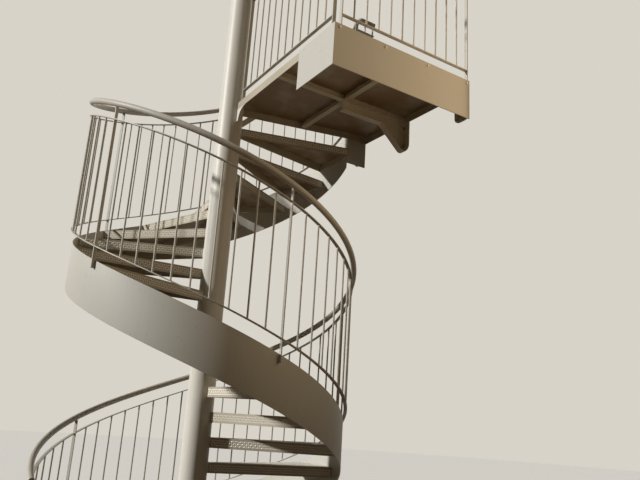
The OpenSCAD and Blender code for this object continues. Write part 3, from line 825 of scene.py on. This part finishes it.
def relief(tree, noise):
    """The skin of the paint, 0.3 mm deep, on plate with waves 3 mm deep, both drawn weakly."""
    skin = add(tree, "ShaderNodeBump", {"Height": noise["skin"], "Strength": 0.2,
                                        "Distance": 0.3 * MM}, "Normal")
    return add(tree, "ShaderNodeBump", {"Height": noise["waves"], "Strength": 0.08,
                                        "Distance": 3 * MM, "Normal": skin}, "Normal")


# %% Weathered grey paint
def paint(name, pale, deep, roughness, dirt_and_shade=0.3, rust=0.3, streaks=0.1, shine=0.3):
    """Sprayed alkyd paint on steel, chalked by the sun so that it mirrors less. Rust, streaks and
    the brown on what faces down say how much of their colour covers the paint where they are
    thickest; that brown is partly dirt and partly painted shade under things. Dust covers a third
    of what faces up. Roughness, which spots and dust change, and shine set how wide and how strong
    the sheen is."""
    made = bpy.data.materials.new(name)
    made.use_nodes = True
    tree = made.node_tree
    tree.nodes.clear()
    place = add(tree, "ShaderNodeTexCoord", out="Object")
    normal = add(tree, "ShaderNodeNewGeometry", out="Normal")
    up = add(tree, "ShaderNodeSeparateXYZ", {0: normal}, "Z")
    noise = {}
    for key, (width, detail, strength) in PATTERNS.items():
        noise[key] = add(tree, "ShaderNodeTexNoise", {
            "Vector": place, "Scale": 1 / (width * MM), "Detail": detail,
            "Roughness": strength}, "Fac")
    body, _ = layer(tree, colour(deep), pale, noise["drift"], 0.35, 0.65)
    # Streaks run down, so their noise is stretched along Z
    run = add(tree, "ShaderNodeMapping", {
        "Vector": place, "Scale": (1 / STREAK_W, 1 / STREAK_W, 1 / STREAK_L)}, "Vector")
    streak = add(tree, "ShaderNodeTexNoise", {"Vector": run, "Scale": 1, "Detail": 3}, "Fac")
    body, _ = layer(tree, body, "#7b7060", streak, 0.52, 0.75, streaks)
    # Dust starts on slopes of 60 degrees, where the normal's Z is a half
    body, dust = layer(tree, body, "#9c9280", up, 0.5, 0.95, 0.35)
    # Brown comes in patches on what faces down, where the normal's Z is below zero: partly dirt,
    # partly painted shade under things
    below = add(tree, "ShaderNodeMapRange", {"Value": up, "From Min": -0.3, "From Max": -0.9,
                                             "To Max": dirt_and_shade}, "Result")
    body, _ = layer(tree, body, "#775b36", noise["patches"], 0.25, 0.55, below)
    # A chip goes through to the steel where fine and coarse noise are both high
    both = add(tree, "ShaderNodeMath", {0: noise["chips"], 1: noise["spots"]}, "Value")
    body, _ = layer(tree, body, "#70451f", both, 1.2, 1.26, rust)
    gloss = add(tree, "ShaderNodeMapRange", {"Value": noise["spots"], "To Min": roughness - 0.03,
                                             "To Max": roughness + 0.03}, "Result")
    gloss = add(tree, "ShaderNodeMath", {0: gloss, 1: dust}, "Value", use_clamp=True)
    shader = add(tree, "ShaderNodeBsdfPrincipled", {
        "Base Color": body, "Roughness": gloss, "Normal": relief(tree, noise), "IOR": 1.5,
        "Specular IOR Level": shine}, "BSDF")
    add(tree, "ShaderNodeOutputMaterial", {"Surface": shader})
    print(name, "roughness about", roughness)
    return made


# %% The eight finishes
# The plates were sprayed flat in the shop: an even coat with a soft, wide sheen.
plates = paint("sprayed_alkyd_paint_on_plate", "#c0beb8", "#bcbab3", 0.58, streaks=0.04)
# The tube was sprayed on rollers: a paler coat, and the curve shows its sheen as a line.
tube = paint("sprayed_alkyd_paint_on_tube", "#d9d6cf", "#d4d1ca", 0.45, rust=0.2, streaks=0.04)
# Thin bars are painted by brush after they are welded, so their coat is thin and chips sooner.
bars = paint("brushed_alkyd_paint_on_bars", "#c0bdb6", "#b5b2aa", 0.48, rust=0.5)
# Shoes wear the coat of the treads dull. Their undersides get a thick brown layer, partly dirt
# and partly painted shade.
floors = paint("worn_alkyd_paint_on_tear_plate_shaded_below", "#b5ad9d", "#a79e8c", 0.5, dirt_and_shade=0.85,
               rust=0.25)
# The raised tears are painted near white: partly wear, since brooms and shoes keep them clean,
# and partly a painted highlight of the light their flanks catch. The darker tread paint between
# them is partly dust and partly painted shade.
crests_worn_and_highlit = paint("rubbed_and_highlit_paint_on_tears", "#f8f5ed", "#f2eee4", 0.32, dirt_and_shade=0.1, rust=0.1,
               shine=0.6)
# The narrow flanges under the deck are painted paler than the deck and with less brown, as
# painted light: they catch light while the deck between them lies in deeper shade.
beams_painted_lit = paint("alkyd_paint_on_beams_painted_lit", "#d0c8b8", "#c2baa9", 0.55, dirt_and_shade=0.25, rust=0.5)
# Splash water dulls the base plate, streaks it and rusts it.
base = paint("rusty_alkyd_paint_on_base_plate", "#a39e92", "#8a8476", 0.6, dirt_and_shade=0.6, rust=0.9,
             streaks=0.4)
# The bolts of the side plate are painted near white as a painted highlight, which keeps their
# small heads bright against their own shade, and they have a brighter sheen.
bolt_paint_highlit = paint("bolt_paint_with_painted_highlight", "#f0eee8", "#e4e2dc", 0.35, dirt_and_shade=0.2, rust=0.3,
             shine=0.6)

# %% Give every piece its finish
finish = {"plate_paint": plates, "column_paint": tube, "guard_paint": bars, "tread_plate": floors,
          "underside_paint": beams_painted_lit, "base_steel": base}
slots = {s["node"]: s["material_slot"] for s in frame["record"]["subparts"]}
for name, node in nodes.items():
    node.data.materials.clear()
    node.data.materials.append(finish[slots[name]])
for name, made in pieces.items():
    # The tears get the near-white finish: partly wear, partly painted highlight
    usual = crests_worn_and_highlit if "tears" in name else finish[made["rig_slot"]]
    # The side plate's bolts get the near-white finish of painted highlight
    made.data.materials.append(bolt_paint_highlit if name == "deck_edge_bolts" else usual)
print(len(nodes), "nodes and", len(pieces), "pieces have their finish")

# %% [markdown]
# ## Floor, backdrop and lamps
#
# The camera and the reflections see a pale floor and a pale backdrop. What these two give back
# to the stair as light is less and warmer, so the undersides stay dark and brown. With one
# colour for both, either the backdrop is too dark or the undersides are too light.


# %% Floor and backdrop
def seen(tree, shown, hidden):
    """One colour for camera, glossy and transmission rays, and another for diffuse light."""
    rays = add(tree, "ShaderNodeLightPath").outputs
    any_ray = rays["Is Camera Ray"]
    for kind in ("Is Glossy Ray", "Is Transmission Ray"):
        any_ray = add(tree, "ShaderNodeMath", {0: any_ray, 1: rays[kind]}, "Value",
                      operation="MAXIMUM")
    return add(tree, "ShaderNodeMix", {"Factor": any_ray, "A": colour(hidden),
                                       "B": colour(shown)}, "Result", data_type="RGBA")


# A disc with a radius of 40 m, half a millimetre below the base plate
FLOOR_R, FLOOR_Z, FLOOR_POINTS = 40, -0.0005, 96
mesh = bpy.data.meshes.new("floor")
t = 2 * np.pi * np.arange(FLOOR_POINTS) / FLOOR_POINTS
rim = np.stack([FLOOR_R * np.cos(t), FLOOR_R * np.sin(t), 0 * t + FLOOR_Z], -1)
mesh.from_pydata(rim.tolist(), [], [list(range(FLOOR_POINTS))])
floor = bpy.data.objects.new("floor", mesh)
scene.collection.objects.link(floor)
ground = bpy.data.materials.new("matt_studio_floor")
ground.use_nodes = True
tree = ground.node_tree
tree.nodes.clear()
shader = add(tree, "ShaderNodeBsdfDiffuse", {"Color": seen(tree, "#ffffff", "#625138")}, "BSDF")
add(tree, "ShaderNodeOutputMaterial", {"Surface": shader})
floor.data.materials.append(ground)

world = bpy.data.worlds.new("studio")
scene.world = world
world.use_nodes = True
tree = world.node_tree
tree.nodes.clear()
glow = add(tree, "ShaderNodeBackground", {"Color": seen(tree, "#d8d3c9", "#322d25"),
                                          "Strength": 1.0}, "Background")
add(tree, "ShaderNodeOutputWorld", {"Surface": glow})
print("a floor", 2 * FLOOR_R, "m wide and a plain backdrop")

# %% [markdown]
# The key is a sun from the left, 25 degrees high, so its light slides along the curve of the
# band and the round of the column. A weak fill from behind keeps the far side of the stair
# from going black. One warm panel at the right lights the landing's side plate, which faces
# away from the sun. A bright backdrop alone would light all of it, but flatten the curves.


# %% A lamp and its direction
def lamp(name, spot, aim, power, code, size):
    """A lamp at a spot that shines at an aim, both in metres. With one size it is a far sun
    whose disc looks that many degrees wide. With two it is a panel that wide and high."""
    data = bpy.data.lights.new(name, "SUN" if len(size) == 1 else "AREA")
    data.energy, data.color = power, colour(code)[:3]
    if len(size) == 1:
        data.angle = np.radians(size[0])
    else:
        data.shape, data.size, data.size_y = "RECTANGLE", *size
    z = np.subtract(spot, aim)
    z /= np.linalg.norm(z)
    x = np.cross([0, 0, 1], z)
    x /= np.linalg.norm(x)
    rows = np.eye(4)
    rows[:3, 0], rows[:3, 1], rows[:3, 2], rows[:3, 3] = x, np.cross(z, x), z, spot
    made = bpy.data.objects.new(name, data)
    made.matrix_world = Matrix(rows.tolist())
    made.visible_camera = False
    scene.collection.objects.link(made)
    print(name, data.type, "with a power of", power)


def towards(azimuth, height, distance=20):
    """A spot that far from the origin, at an azimuth round Z and a height in degrees."""
    a, e = np.radians([azimuth, height])
    return distance * np.array([np.cos(a) * np.cos(e), np.sin(a) * np.cos(e), np.sin(e)])


# %% Three lamps
lamp("key", towards(-106, 25), (0, 0, 0), power=3.75, code="#fffdf6", size=[3])
lamp("back_fill", towards(150, 30), (0, 0, 0), power=0.6, code="#fff4e6", size=[40])
# The panel stands upright, 20 mm behind the plane of the landing's far side
PANEL_X, PANEL_Z = 3.3, 4.5
lamp("side_panel", (PANEL_X, LANDING_Y + 0.02, PANEL_Z), (PANEL_X, 0, PANEL_Z), power=54,
     code="#ffdfb2", size=[3.2, 3.6])
